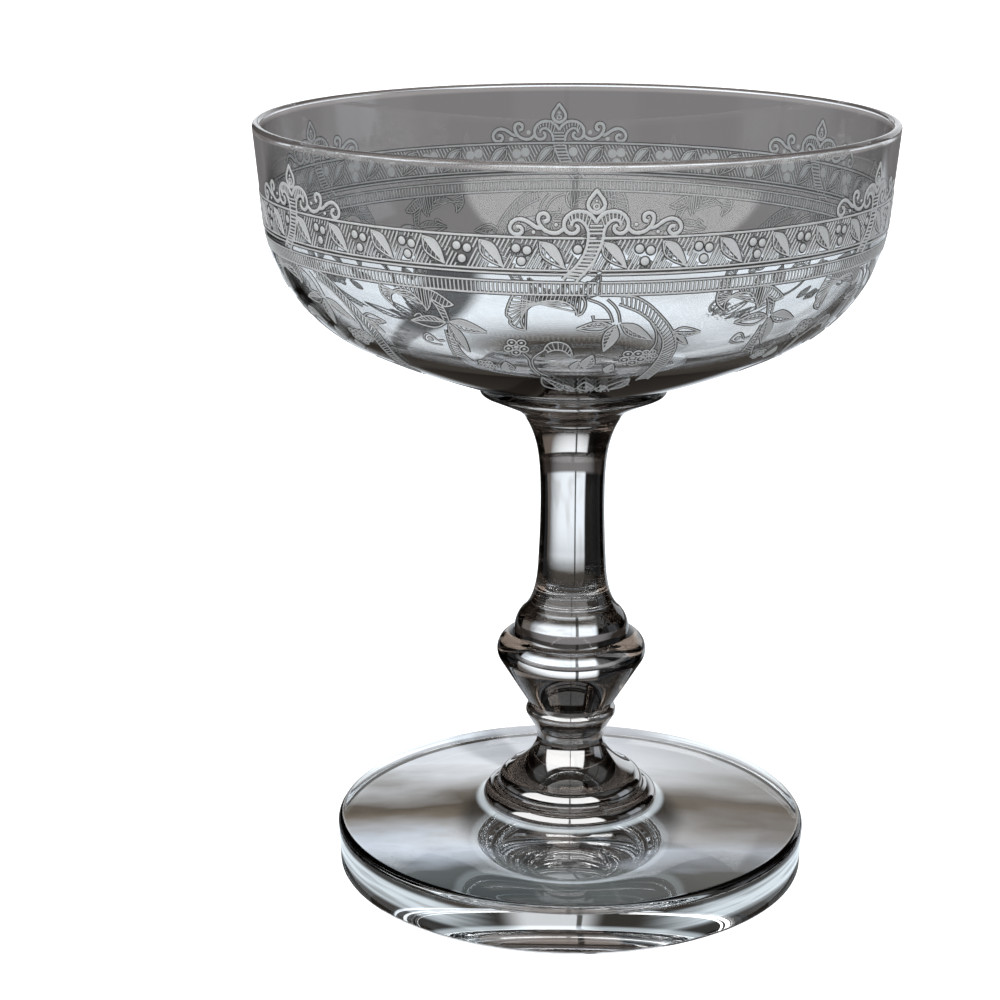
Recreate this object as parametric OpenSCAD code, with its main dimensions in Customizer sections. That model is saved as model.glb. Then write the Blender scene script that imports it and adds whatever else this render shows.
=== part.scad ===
// Stemmed champagne coupe in clear glass: a wide shallow bowl on a turned
// baluster stem and a thick disc foot. Every piece is a solid of revolution
// about Z, and the pieces are fused face to face on flat discs.
// Origin: centre of the foot's underside. +Z up, millimetres.

/* [Foot] */
// Radius of the foot at its widest
foot_r = 37.6; // [33:0.1:42]
// Height of the foot at its edge
foot_edge_h = 7.9; // [6:0.1:9]
// Height of the foot where the stem stands on it
foot_h = 10.0; // [9.4:0.1:12]
// Radius of the rounding along the foot's upper edge
foot_top_round = 1.2; // [0.6:0.1:1.8]
// Radius of the rounding along the foot's lower edge
foot_low_round = 0.6; // [0.4:0.1:1.6]
// How far the foot's side leans in from its upper to its lower edge
foot_draft = 0.3; // [0:0.1:1]

/* [Stem base] */
// Height of the collar that joins the stem to the foot
base_collar_h = 2.6; // [2.4:0.05:4]
// Radius of that collar at its widest
base_collar_r = 14.05; // [13:0.05:16]
// Height of the bell above the collar, with its neck
bell_h = 9.5; // [8.5:0.1:12]
// Radius of the bell at its widest
bell_r = 11.7; // [11:0.1:12.4]
// Radius of the neck above the bell
neck_r = 5.35; // [4.5:0.05:6]

/* [Knops] */
// Height of the small ring collar
ring_h = 4.5; // [4.2:0.1:6]
// Radius of the small ring collar
ring_r = 7.2; // [6.8:0.05:8]
// Height of the wide knop
knop_h = 11.55; // [10:0.05:14]
// Radius of the wide knop
knop_r = 11.85; // [11:0.05:13]
// Radius of the rounding around the wide knop
knop_round = 2.7; // [2:0.1:3]

/* [Shaft] */
// Height of the shaft with its shoulder
shaft_h = 35.15; // [30:0.05:60]
// Radius of the shoulder at the shaft's lower end
shoulder_r = 9.15; // [8.6:0.05:9.6]
// Radius of the shaft at its waist
waist_r = 5.0; // [4:0.05:6]
// Radius of the shaft at its upper end
shaft_top_r = 7.4; // [6.5:0.05:8]

/* [Bowl collar] */
// Height of the collar between the shaft and the bowl
bowl_collar_h = 4.8; // [4:0.1:6]
// Radius of that collar's thin edge
bowl_collar_r = 14.5; // [13:0.1:16]

/* [Bowl] */
// Height of the bowl from its joint to the rim
bowl_h = 41.5; // [34:0.1:60]
// Radius of the flat disc where the bowl is joined to its collar
bowl_joint_r = 11.5; // [9:0.1:13]
// Radius of curvature of the bowl's shallow underside
underside_curve = 136; // [110:1:160]
// Slope of the underside at the joint, in degrees
underside_start = 16; // [12:0.5:18]
// Slope of the underside where it turns up into the side, in degrees
underside_end = 26.3; // [24:0.1:29]
// Radius of curvature of the turn between underside and side
turn_curve = 23.4; // [20:0.1:26]
// Lean of the bowl's side away from upright, in degrees
side_lean = 5.4; // [3:0.1:8]
// Thickness of the glass at the rim
rim_t = 1.3; // [1.1:0.05:2]
// Thickness of the glass at the centre of the bowl's floor
floor_t = 2.4; // [1.8:0.1:3.5]

/* [Hidden] */
$fn = 128;

// Heights of the joints, from the foot upwards
base_collar_z = foot_h;
bell_z = base_collar_z + base_collar_h;
ring_z = bell_z + bell_h;
knop_z = ring_z + ring_h;
shaft_z = knop_z + knop_h;
bowl_collar_z = shaft_z + shaft_h;
bowl_z = bowl_collar_z + bowl_collar_h;

// Inside the bowl: the floor's slope where it turns up, the turn's radius of
// curvature, and the height above the joint at which the side becomes straight
inner_slope = 25;
inner_turn = 22;
turn_top_h = 27.6;
lip_r = rim_t / 2;

// Small steps where one piece sits on the next: foot and collar, collar and
// bell, the flare at the neck's end, and the ring under the wide knop
seat_step = 0.1;
collar_ledge = 0.2;
neck_flare = 0.25;
ring_step = 0.42;

// Glass colour
glass = [0.80, 0.84, 0.86, 0.55];

// Points along an arc about c, from angle a0 to a1
function arc(c, r, a0, a1, n) =
    [for (i = [0:n]) let (a = a0 + (a1 - a0) * i / n) c + r * [cos(a), sin(a)]];

// Points along a cubic curve that leaves p0 towards p1 and reaches p3 from p2
function bend(p0, p1, p2, p3, n) =
    [for (i = [0:n]) let (t = i / n, s = 1 - t)
        s * s * s * p0 + 3 * s * s * t * p1 + 3 * s * t * t * p2 + t * t * t * p3];

// Curves that meet end to end, as one outline with each meeting point once
function joined(curves) =
    [for (i = [0:len(curves) - 1], j = [(i == 0 ? 0 : 1):len(curves[i]) - 1]) curves[i][j]];

// Moves an outline up by z
function raised(points, z) = [for (p = points) p + [0, z]];

// A solid of revolution from an outline whose ends are closed to the axis
module turned(outline) {
    low = outline[0][1];
    high = outline[len(outline) - 1][1];
    color(glass) rotate_extrude() polygon(concat([[0, low]], outline, [[0, high]]));
}

// Thick disc with a rounded edge; its top rises in a hollow curve to the stem
module foot() {
    low_r = foot_r - foot_draft;
    seat_r = base_collar_r - seat_step;
    edge_turn = 84; // degrees of rounding before the top begins
    edge_pull = 9; // how far the edge and the stem each lead the hollow curve
    seat_pull = 6;
    rise = foot_h - foot_edge_h;
    edge_rise = rise / 4;
    seat_drop = 0.4 * rise;
    edge = arc([foot_r - foot_top_round, foot_edge_h - foot_top_round], foot_top_round,
               0, edge_turn, 8);
    edge_end = edge[len(edge) - 1];
    top = bend(edge_end, edge_end + [-edge_pull, edge_rise],
               [seat_r + seat_pull, foot_h - seat_drop], [seat_r, foot_h], 16);
    turned(concat(
        arc([low_r - foot_low_round, foot_low_round], foot_low_round, -90, 0, 6),
        joined([edge, top])));
}

// Rounded ring that seats the stem on the foot
module base_collar() {
    tube = 1.85; // radius of the ring's rounding, its height, and where it starts and ends
    tube_z = 0.45;
    start = -14;
    end = 84;
    turned(raised(concat(
        arc([base_collar_r - tube, tube_z], tube, start, end, 14),
        [[bell_r + collar_ledge, base_collar_h]]), base_collar_z));
}

// Bell: a rounded foot ring that sweeps up in a hollow flare to a narrow neck
module bell() {
    tube = 2.15; // radius of the ring's rounding, its height, and where it starts and ends
    tube_z = 0.15;
    start = -4;
    end = 66;
    flare_low = [bell_r - 1.4, 2.15]; // where the flare leaves the ring, and its two guides
    flare_out = [neck_r + 2.95, 3.2];
    flare_up = [neck_r + 0.05, 5.6];
    throat = [neck_r, bell_h - 1.3]; // the narrowest place, and the guides above it
    throat_up = throat + [0, 0.5];
    lip_in = throat + [0.1, 0.95];
    swell = arc([bell_r - tube, tube_z], tube, start, end, 10);
    flare = bend(flare_low, flare_out, flare_up, throat, 16);
    lip = bend(throat, throat_up, lip_in, [neck_r + neck_flare, bell_h], 4);
    turned(raised(concat(swell, flare, [for (i = [1:4]) lip[i]]), bell_z));
}

// Small rounded ring between the bell's neck and the wide knop
module ring_collar() {
    tube = 1.2; // radius of the ring's rounding, its height, and where it starts and ends
    tube_z = 3.0;
    start = -36;
    end = 50;
    turned(raised(concat(
        [[neck_r + neck_flare, 0]],
        arc([ring_r - tube, tube_z], tube, start, end, 12),
        [[ring_r - ring_step, ring_h]]), ring_z));
}

// Wide knop: an inverted cone under a heavy rounded ring
module wide_knop() {
    cone = 33.5; // lean of the cone, in degrees
    cone_r = ring_r - 0.1; // where the cone starts
    cone_z = 0.4;
    ring_centre = [knop_r - knop_round, knop_h - knop_round];
    turned(raised(concat(
        [[ring_r - ring_step, 0], [cone_r, cone_z]],
        arc(ring_centre, knop_round, -cone, 90, 20)), knop_z));
}

// Shaft: a rounded shoulder below, a slender waist and a flare above
module shaft() {
    hip = [shoulder_r - 1.6, 4.15]; // under the shoulder's turn, and the guides beside it
    shoulder_up = [shoulder_r, 2.2];
    hip_below = hip + [0.95, -0.85];
    hip_above = hip + [-1.15, 1.2];
    calf = [waist_r + 0.35, 12.15]; // above the shoulder, and the guides beside it
    calf_below = calf + [0.15, -4.5];
    calf_above = [waist_r, 18.15];
    throat = [waist_r + 0.4, shaft_h - 6]; // where the flare starts, and its guides
    throat_below = [waist_r - 0.15, shaft_h - 10];
    throat_above = throat + [0.3, 2.3];
    flare_in = [shaft_top_r - 1, shaft_h - 1.6];
    curves = [
        bend([shoulder_r, 0], shoulder_up, hip_below, hip, 10),
        bend(hip, hip_above, calf_below, calf, 12),
        bend(calf, calf_above, throat_below, throat, 12),
        bend(throat, throat_above, flare_in, [shaft_top_r, shaft_h], 8)];
    turned(raised(joined(curves), shaft_z));
}

// Bowl collar: a thin-edged disc with a hollow underside, under the bowl
module bowl_collar() {
    edge_r = 0.33; // radius of the thin edge, how far it is below the joint, where it starts
    edge_drop = 0.35;
    edge_start = -50;
    edge_c = [bowl_collar_r - edge_r, bowl_collar_h - edge_drop];
    edge_low = edge_c + edge_r * [cos(edge_start), sin(edge_start)];
    under = [shaft_top_r + 3, 2.4]; // halfway out under the disc, and the guides beside it
    shaft_up = [shaft_top_r + 0.3, 0.9];
    under_in = [shaft_top_r + 1.5, 1.75];
    under_out = under + [1.4, 0.65];
    edge_in = edge_c - [0.9, 0.75];
    turned(raised(joined([
        bend([shaft_top_r, 0], shaft_up, under_in, under, 8),
        bend(under, under_out, edge_in, edge_low, 6),
        arc(edge_c, edge_r, edge_start, 90, 8),
        [edge_c + [0, edge_r], [bowl_joint_r, bowl_collar_h]]]), bowl_collar_z));
}

// One side of the bowl's wall, from its start up to the height z1: a shallow
// arc, a tighter turn and a straight leaning side
function bowl_side(start, slope0, slope1, curve0, curve1, z1) =
    let (a0 = slope0 - 90, a1 = slope1 - 90, a2 = -side_lean,
         floor_arc = arc(start - curve0 * [cos(a0), sin(a0)], curve0, a0, a1, 16),
         turn0 = floor_arc[len(floor_arc) - 1],
         turn = arc(turn0 - curve1 * [cos(a1), sin(a1)], curve1, a1, a2, 24),
         side0 = turn[len(turn) - 1],
         top = [side0[0] + (z1 - side0[1]) * tan(side_lean), z1])
    joined([floor_arc, turn, [side0, top]]);

// Bowl: one wall of blown glass with a rounded lip
module bowl() {
    lip_z = bowl_h - lip_r;
    outer = bowl_side([bowl_joint_r, 0], underside_start, underside_end,
                      underside_curve, turn_curve, lip_z);
    lip_out = outer[len(outer) - 1];
    lip_in = lip_out - [rim_t, 0];
    span = lip_in[0] - (lip_z - turn_top_h) * tan(side_lean);
    inner_curve = (span - inner_turn * (cos(side_lean) - sin(inner_slope))) / sin(inner_slope);
    inner = bowl_side([0, floor_t], 0, inner_slope, inner_curve, inner_turn, lip_z);
    lip = arc(lip_out - [lip_r, 0], lip_r, 0, 180, 12);
    inner_down = [for (i = [len(inner) - 1:-1:0]) inner[i]];
    wall = joined([outer, lip, inner_down]);
    color(glass) rotate_extrude() polygon(raised(concat([[0, 0]], wall), bowl_z));
}

foot();
base_collar();
bell();
ring_collar();
wide_knop();
shaft();
bowl_collar();
bowl();
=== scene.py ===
"""Etched champagne coupe: eight solid glass pieces with the etched ornament on the bowl."""

import bisect
import math
import random

import bpy
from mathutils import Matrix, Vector


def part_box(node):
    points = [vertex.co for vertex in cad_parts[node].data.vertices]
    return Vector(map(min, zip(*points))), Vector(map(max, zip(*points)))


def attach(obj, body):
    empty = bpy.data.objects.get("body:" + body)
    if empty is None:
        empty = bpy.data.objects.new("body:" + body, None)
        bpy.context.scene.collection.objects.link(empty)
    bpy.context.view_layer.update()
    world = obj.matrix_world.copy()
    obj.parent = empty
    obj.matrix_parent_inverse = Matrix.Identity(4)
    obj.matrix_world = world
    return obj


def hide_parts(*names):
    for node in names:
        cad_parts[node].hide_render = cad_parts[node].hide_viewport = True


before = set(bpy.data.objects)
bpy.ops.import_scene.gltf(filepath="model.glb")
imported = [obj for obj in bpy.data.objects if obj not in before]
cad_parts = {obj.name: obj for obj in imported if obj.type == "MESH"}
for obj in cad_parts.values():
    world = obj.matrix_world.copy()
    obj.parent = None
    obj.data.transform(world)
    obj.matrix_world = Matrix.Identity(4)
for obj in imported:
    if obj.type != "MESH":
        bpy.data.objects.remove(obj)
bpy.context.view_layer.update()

MM = 0.001
TINY = 1e-6  # mm, below which a radius is on the axis
SEGMENTS = 240  # around every turned piece
FINE = 3  # outline points, as a multiple of the CAD outline's

# ---------------------------------------------------------------- outlines, mm

FOOT_R, FOOT_EDGE_H, FOOT_H = 37.6, 7.9, 10.0
FOOT_TOP_ROUND, FOOT_LOW_ROUND, FOOT_DRAFT = 1.2, 0.6, 0.3
BASE_COLLAR_R, BASE_COLLAR_H = 14.05, 2.6
BELL_R, BELL_H, NECK_R = 11.7, 9.5, 5.35
RING_R, RING_H = 7.2, 4.5
SEAT_STEP = 0.1  # the collar reaches this far past its seat on the foot
NECK_FLARE = 0.25  # the bell's neck opens this much under the ring
RING_STEP = 0.42  # the ring narrows this much under the knop
COLLAR_TUBE, BELL_TUBE, RING_TUBE = 1.85, 2.15, 1.2  # radii of the rounded edges
BELL_TUCK = 4  # degrees that the bell's round goes past upright at its foot
KNOP_R, KNOP_H, KNOP_ROUND = 11.85, 11.55, 2.7
SHAFT_H, SHOULDER_R, WAIST_R, SHAFT_TOP_R = 35.15, 9.15, 5.0, 7.4
BOWL_COLLAR_R, BOWL_COLLAR_H = 14.5, 4.8
BOWL_H, BOWL_JOINT_R = 41.5, 11.5
UNDERSIDE_CURVE, UNDERSIDE_START, UNDERSIDE_END = 136, 16, 26.3
TURN_CURVE, SIDE_LEAN = 23.4, 5.4
RIM_T, FLOOR_T = 1.3, 2.4
INNER_SLOPE, INNER_TURN, TURN_TOP_H = 25, 22, 27.6
LIP_R = RIM_T / 2


def arc(centre, radius, start, end, steps):
    """Points on a circle in the (radius, height) plane."""
    turns = [math.radians(start + (end - start) * i / steps) for i in range(steps + 1)]
    return [(centre[0] + radius * math.cos(t), centre[1] + radius * math.sin(t)) for t in turns]


def bend(a, b, c, d, steps):
    """A cubic curve from a to d that leaves towards b and arrives from c."""
    made = []
    for i in range(steps + 1):
        t = i / steps
        s = 1 - t
        made.append(tuple(
            s**3 * p + 3 * s * s * t * q + 3 * s * t * t * r + t**3 * w
            for p, q, r, w in zip(a, b, c, d)
        ))
    return made


def joined(*curves):
    """Curves end to end, each shared point once."""
    made = list(curves[0])
    for curve in curves[1:]:
        made += curve[1:]
    return made


def foot_outline():
    low = FOOT_R - FOOT_DRAFT
    seat = BASE_COLLAR_R - SEAT_STEP
    edge = arc((FOOT_R - FOOT_TOP_ROUND, FOOT_EDGE_H - FOOT_TOP_ROUND), FOOT_TOP_ROUND, 0, 84, 8 * FINE)
    end = edge[-1]
    rise = FOOT_H - FOOT_EDGE_H
    top = bend(end, (end[0] - 9, end[1] + 0.25 * rise), (seat + 6, FOOT_H - 0.4 * rise),
               (seat, FOOT_H), 16 * FINE)
    return arc((low - FOOT_LOW_ROUND, FOOT_LOW_ROUND), FOOT_LOW_ROUND, -90, 0, 8 * FINE) + joined(edge, top)


def base_collar_outline():
    edge = arc((BASE_COLLAR_R - COLLAR_TUBE, 0.45), COLLAR_TUBE, -14, 84, 14 * FINE)
    return edge + [(BELL_R + 0.2, BASE_COLLAR_H)]


def bell_outline():
    throat = (NECK_R, BELL_H - 1.3)
    swell = arc((BELL_R - BELL_TUBE, 0.15), BELL_TUBE, -BELL_TUCK, 66, 10 * FINE)
    flare = bend((BELL_R - 1.4, 2.15), (NECK_R + 2.95, 3.2), (NECK_R + 0.05, 5.6), throat, 16 * FINE)
    lip = bend(throat, (throat[0], throat[1] + 0.5), (throat[0] + 0.1, throat[1] + 0.95),
               (NECK_R + NECK_FLARE, BELL_H), 4 * FINE)
    return swell + joined(flare, lip)


def ring_outline():
    bead = arc((RING_R - RING_TUBE, 3.0), RING_TUBE, -36, 50, 12 * FINE)
    return [(NECK_R + NECK_FLARE, 0)] + bead + [(RING_R - RING_STEP, RING_H)]


def knop_outline():
    centre = (KNOP_R - KNOP_ROUND, KNOP_H - KNOP_ROUND)
    return [(RING_R - RING_STEP, 0), (RING_R - 0.1, 0.4)] + arc(centre, KNOP_ROUND, -33.5, 90, 20 * FINE)


def shaft_outline():
    hip = (SHOULDER_R - 1.6, 4.15)
    calf = (WAIST_R + 0.35, 12.15)
    throat = (WAIST_R + 0.4, SHAFT_H - 6)
    return joined(
        bend((SHOULDER_R, 0), (SHOULDER_R, 2.2), (hip[0] + 0.95, hip[1] - 0.85), hip, 10 * FINE),
        bend(hip, (hip[0] - 1.15, hip[1] + 1.2), (calf[0] + 0.15, calf[1] - 4.5), calf, 12 * FINE),
        bend(calf, (WAIST_R, 18.15), (WAIST_R - 0.15, SHAFT_H - 10), throat, 12 * FINE),
        bend(throat, (throat[0] + 0.3, throat[1] + 2.3), (SHAFT_TOP_R - 1, SHAFT_H - 1.6),
             (SHAFT_TOP_R, SHAFT_H), 8 * FINE),
    )


def bowl_collar_outline():
    edge_r = 0.33
    centre = (BOWL_COLLAR_R - edge_r, BOWL_COLLAR_H - 0.35)
    under = (SHAFT_TOP_R + 3, 2.4)
    edge = arc(centre, edge_r, -50, 90, 8 * FINE)
    return joined(
        bend((SHAFT_TOP_R, 0), (SHAFT_TOP_R + 0.3, 0.9), (SHAFT_TOP_R + 1.5, 1.75), under, 8 * FINE),
        bend(under, (under[0] + 1.4, under[1] + 0.65), (centre[0] - 0.9, centre[1] - 0.75), edge[0],
             6 * FINE),
        edge,
        [edge[-1], (BOWL_JOINT_R, BOWL_COLLAR_H)],
    )


def bowl_side(start, slope0, slope1, curve0, curve1, top):
    """The bowl's underside, the turn into its wall, and the leaning wall up to a height."""
    lean0, lean1 = slope0 - 90, slope1 - 90
    first = arc((start[0] - curve0 * math.cos(math.radians(lean0)),
                 start[1] - curve0 * math.sin(math.radians(lean0))), curve0, lean0, lean1, 16 * FINE)
    end = first[-1]
    turn = arc((end[0] - curve1 * math.cos(math.radians(lean1)),
                end[1] - curve1 * math.sin(math.radians(lean1))), curve1, lean1, -SIDE_LEAN, 24 * FINE)
    last = turn[-1]
    wall = [(last[0] + (top - last[1]) * math.tan(math.radians(SIDE_LEAN)) * i / 20,
             last[1] + (top - last[1]) * i / 20) for i in range(21)]
    return joined(first, turn, wall)


LIP_Z = BOWL_H - LIP_R
BOWL_OUTER = bowl_side((BOWL_JOINT_R, 0), UNDERSIDE_START, UNDERSIDE_END, UNDERSIDE_CURVE,
                       TURN_CURVE, LIP_Z)


def bowl_outline():
    lip_out = BOWL_OUTER[-1]
    lean = math.radians(SIDE_LEAN)
    lip_in = lip_out[0] - RIM_T
    span = lip_in - (LIP_Z - TURN_TOP_H) * math.tan(lean)
    slope = math.radians(INNER_SLOPE)
    inner_curve = (span - INNER_TURN * (math.cos(lean) - math.sin(slope))) / math.sin(slope)
    inner = bowl_side((0, FLOOR_T), 0, INNER_SLOPE, inner_curve, INNER_TURN, LIP_Z)
    lip = arc((lip_out[0] - LIP_R, LIP_Z), LIP_R, 0, 180, 10 * FINE)
    return BOWL_OUTER + lip[1:-1] + inner[::-1]


# ------------------------------------------------------------------- materials

def material(name):
    """A new material and its shader."""
    made = bpy.data.materials.new(name)
    made.use_nodes = True
    return made, made.node_tree.nodes["Principled BSDF"]


def clear_glass(name, start, end, dark, clear_tint=(0.985, 0.99, 0.99)):
    """Clear glass whose colour is painted dark where the surface turns away, from start to end: painted
    shade at its edges.
    """
    made, shader = material(name)
    nodes, links = made.node_tree.nodes, made.node_tree.links
    turned_away = nodes.new("ShaderNodeLayerWeight")
    turned_away.inputs["Blend"].default_value = 0.5
    shade = nodes.new("ShaderNodeValToRGB")
    shade.color_ramp.interpolation = "EASE"
    clear, painted_edge_shade = shade.color_ramp.elements
    clear.position, clear.color = start, (*clear_tint, 1)
    # painted shade: the dark colour at the turned-away edges
    painted_edge_shade.position, painted_edge_shade.color = end, (*dark, 1)
    links.new(turned_away.outputs["Facing"], shade.inputs["Fac"])
    links.new(shade.outputs["Color"], shader.inputs["Base Color"])
    shader.inputs["Roughness"].default_value = 0.0
    shader.inputs["IOR"].default_value = 1.52
    shader.inputs["Transmission Weight"].default_value = 1.0
    return made


def place_xyz(nodes, links):
    """Sockets for x, y and z on the object, in metres."""
    place = nodes.new("ShaderNodeTexCoord")
    split = nodes.new("ShaderNodeSeparateXYZ")
    links.new(place.outputs["Object"], split.inputs[0])
    return split.outputs


def beside_axis(nodes, links):
    """A socket for the distance to the left or right of the middle, in metres."""
    size = nodes.new("ShaderNodeMath")
    size.operation = "ABSOLUTE"
    links.new(place_xyz(nodes, links)[0], size.inputs[0])
    return size.outputs[0]


def radius_and_height(nodes, links):
    """Sockets for the distance from the axis and the height, in metres."""
    x, y, z = place_xyz(nodes, links)
    flat = nodes.new("ShaderNodeCombineXYZ")
    links.new(x, flat.inputs[0])
    links.new(y, flat.inputs[1])
    size = nodes.new("ShaderNodeVectorMath")
    size.operation = "LENGTH"
    links.new(flat.outputs[0], size.inputs[0])
    return size.outputs["Value"], z


def between(nodes, links, value, low, high, at_low, at_high):
    """A smooth change from at_low to at_high as the value goes from low to high."""
    made = nodes.new("ShaderNodeMapRange")
    made.interpolation_type = "SMOOTHSTEP"
    for key, number in (("From Min", low), ("From Max", high), ("To Min", at_low), ("To Max", at_high)):
        made.inputs[key].default_value = number
    links.new(value, made.inputs["Value"])
    return made.outputs["Result"]


def noise(nodes, links, scale, detail=2):
    """A noise drawn out by a scale for each axis."""
    place = nodes.new("ShaderNodeTexCoord")
    drawn = nodes.new("ShaderNodeMapping")
    drawn.inputs["Scale"].default_value = scale
    links.new(place.outputs["Object"], drawn.inputs["Vector"])
    made = nodes.new("ShaderNodeTexNoise")
    made.inputs["Scale"].default_value = 1.0
    made.inputs["Detail"].default_value = detail
    links.new(drawn.outputs["Vector"], made.inputs["Vector"])
    return made.outputs["Fac"]


def product(nodes, links, first, *rest):
    """A socket for the values multiplied together."""
    for value in rest:
        made = nodes.new("ShaderNodeMath")
        made.operation = "MULTIPLY"
        links.new(first, made.inputs[0])
        links.new(value, made.inputs[1])
        first = made.outputs[0]
    return first


def painted_wall_highlight(nodes, links, out, up):
    """A painted highlight, as emission, in the upright edge of the foot, on its left and right."""
    beside = beside_axis(nodes, links)
    streaks = noise(nodes, links, (60, 60, 1400))
    high = FOOT_EDGE_H * MM
    return product(nodes, links,
                   between(nodes, links, out, (FOOT_R - 2.2) * MM, (FOOT_R - 1.6) * MM, 0, 1),
                   between(nodes, links, up, 0.27 * high, 0.40 * high, 0, 1),
                   between(nodes, links, up, 0.70 * high, 0.79 * high, 1, 0),
                   between(nodes, links, beside, 0.26 * FOOT_R * MM, 0.58 * FOOT_R * MM, 0, 0.72),
                   between(nodes, links, streaks, 0.3, 0.6, 0.45, 1))


def paint_foot_highlights(glass, radius, floor):
    """Painted highlights, as emission: in the glass just outside a radius and above a height, and in the
    edge.
    """
    nodes, links = glass.node_tree.nodes, glass.node_tree.links
    shader = nodes["Principled BSDF"]
    out, up = radius_and_height(nodes, links)
    near = between(nodes, links, out, radius + 0.5 * MM, radius + 1.5 * MM, 0.5, 0)
    above = between(nodes, links, up, floor - 0.1 * MM, floor, 0, 1)
    total = nodes.new("ShaderNodeMath")
    total.operation = "ADD"
    links.new(product(nodes, links, near, above), total.inputs[0])
    links.new(painted_wall_highlight(nodes, links, out, up), total.inputs[1])
    links.new(total.outputs[0], shader.inputs["Emission Strength"])
    # the painted highlights are bluish white
    shader.inputs["Emission Color"].default_value = (0.82, 0.93, 1.0, 1)


def paint_lip_highlight(glass, height):
    """A painted highlight, as emission, in the rounded lip above a height."""
    nodes, links = glass.node_tree.nodes, glass.node_tree.links
    shader = nodes["Principled BSDF"]
    up = radius_and_height(nodes, links)[1]
    lit = between(nodes, links, up, height, height + 0.3 * MM, 0, 0.055)
    links.new(lit, shader.inputs["Emission Strength"])
    # the painted highlight is a warm white
    shader.inputs["Emission Color"].default_value = (1.0, 0.9, 0.88, 1)


def fused_joint():
    """The disc where two pieces of glass are one: nothing to see."""
    made, shader = material("fused_joint")
    nodes, links = made.node_tree.nodes, made.node_tree.links
    clear = nodes.new("ShaderNodeBsdfTransparent")
    links.new(clear.outputs[0], nodes["Material Output"].inputs["Surface"])
    nodes.remove(shader)
    return made


def grained(nodes, links, scale, detail, low, high):
    """Colours the shader by a fine grain, from low to high, each a (noise level, colour) pair."""
    grain = noise(nodes, links, (scale, scale, scale), detail)
    shade = nodes.new("ShaderNodeValToRGB")
    for element, (level, tone) in zip(shade.color_ramp.elements, (low, high)):
        element.position = level
        element.color = (*tone, 1)
    links.new(grain, shade.inputs["Fac"])
    links.new(shade.outputs["Color"], nodes["Principled BSDF"].inputs["Base Color"])
    return grain


def etched_frost_with_glow():
    """Acid-etched glass: a fine pale grain that scatters light, with a faint painted glow of its own."""
    made, shader = material("etched_frost_with_glow")
    nodes, links = made.node_tree.nodes, made.node_tree.links
    grain = grained(nodes, links, 9000, 3, (0.3, (0.40, 0.405, 0.41)), (0.7, (0.60, 0.61, 0.62)))
    bump = nodes.new("ShaderNodeBump")
    bump.inputs["Strength"].default_value = 0.35
    bump.inputs["Distance"].default_value = 0.03 * MM
    links.new(grain, bump.inputs["Height"])
    links.new(bump.outputs["Normal"], shader.inputs["Normal"])
    shader.inputs["Roughness"].default_value = 0.6
    shader.inputs["IOR"].default_value = 1.45
    shader.inputs["Transmission Weight"].default_value = 0.15
    # painted glow: the frost gives off a little light of its own, so strokes that light can't reach still
    # look pale
    shader.inputs["Emission Color"].default_value = (0.92, 0.97, 1.0, 1)
    shader.inputs["Emission Strength"].default_value = 0.15
    return made


def painted_groove_shade():
    """The sloping side of an etched line, painted dark: painted shade for a side that turns light away."""
    made, shader = material("painted_groove_shade")
    nodes, links = made.node_tree.nodes, made.node_tree.links
    # painted shade: near-black with a fine grain
    grained(nodes, links, 4000, 2, (0.0, (0.02, 0.018, 0.017)), (1.0, (0.13, 0.125, 0.12)))
    shader.inputs["Roughness"].default_value = 0.3
    shader.inputs["Transmission Weight"].default_value = 0.25
    return made


# The bowl and the foot stay clear almost to their outlines. The stem and its base take painted edge shade
# early, the base's glass is painted dark even at its middle and the ring's half dark, as painted shade, and
# the ring and the base are polished, so that they mirror the windows.
BOWL_GLASS = clear_glass("bowl_glass_clear", 0.6, 0.97, (0.30, 0.28, 0.27))
STEM_GLASS = clear_glass("stem_glass_clear", 0.07, 0.32, (0.02, 0.013, 0.009), (0.9, 0.89, 0.88))
BASE_GLASS = clear_glass("base_glass_clear", 0.02, 0.30, (0.02, 0.013, 0.009), (0.07, 0.05, 0.04))
KNOP_GLASS = clear_glass("knop_glass_clear", 0.09, 0.36, (0.02, 0.013, 0.009))
RING_GLASS = clear_glass("ring_glass_clear", 0.05, 0.32, (0.02, 0.013, 0.009), (0.5, 0.49, 0.48))
for glass, shine in ((BASE_GLASS, 3.6), (RING_GLASS, 3.2)):
    polished = glass.node_tree.nodes["Principled BSDF"]
    polished.inputs["Coat Weight"].default_value = 1.0
    polished.inputs["Coat IOR"].default_value = shine
    polished.inputs["Coat Roughness"].default_value = 0.0
# painted highlight in the bowl's lip
paint_lip_highlight(BOWL_GLASS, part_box("bowl")[1].z - 2.2 * LIP_R * MM)
FOOT_GLASS = clear_glass("foot_glass_clear", 0.6, 0.95, (0.25, 0.25, 0.25))
# painted highlights on the foot, by the collar and in its edge
paint_foot_highlights(FOOT_GLASS, BASE_COLLAR_R * MM, 9.2 * MM)
FROST_WITH_GLOW = etched_frost_with_glow()
GROOVE_SHADE = painted_groove_shade()
JOINT = fused_joint()

# ---------------------------------------------------------------- glass pieces

def turned_points(rows, count):
    """Each (radius, height) row as count points round the axis, from the front."""
    turns = [2 * math.pi * i / count for i in range(count)]
    return [(r * math.sin(t), -r * math.cos(t), z) for r, z in rows for t in turns]


def mesh_object(name, verts, faces, slots=None):
    """A mesh object in the scene, smooth but for its sharp edges, with a material slot per face."""
    mesh = bpy.data.meshes.new(name)
    mesh.from_pydata(verts, [], faces)
    if slots:
        mesh.polygons.foreach_set("material_index", slots)
    mesh.polygons.foreach_set("use_smooth", [True] * len(mesh.polygons))
    mesh.set_sharp_from_angle(angle=math.radians(24))
    mesh.update()
    made = bpy.data.objects.new(name, mesh)
    bpy.context.scene.collection.objects.link(made)
    return made


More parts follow.
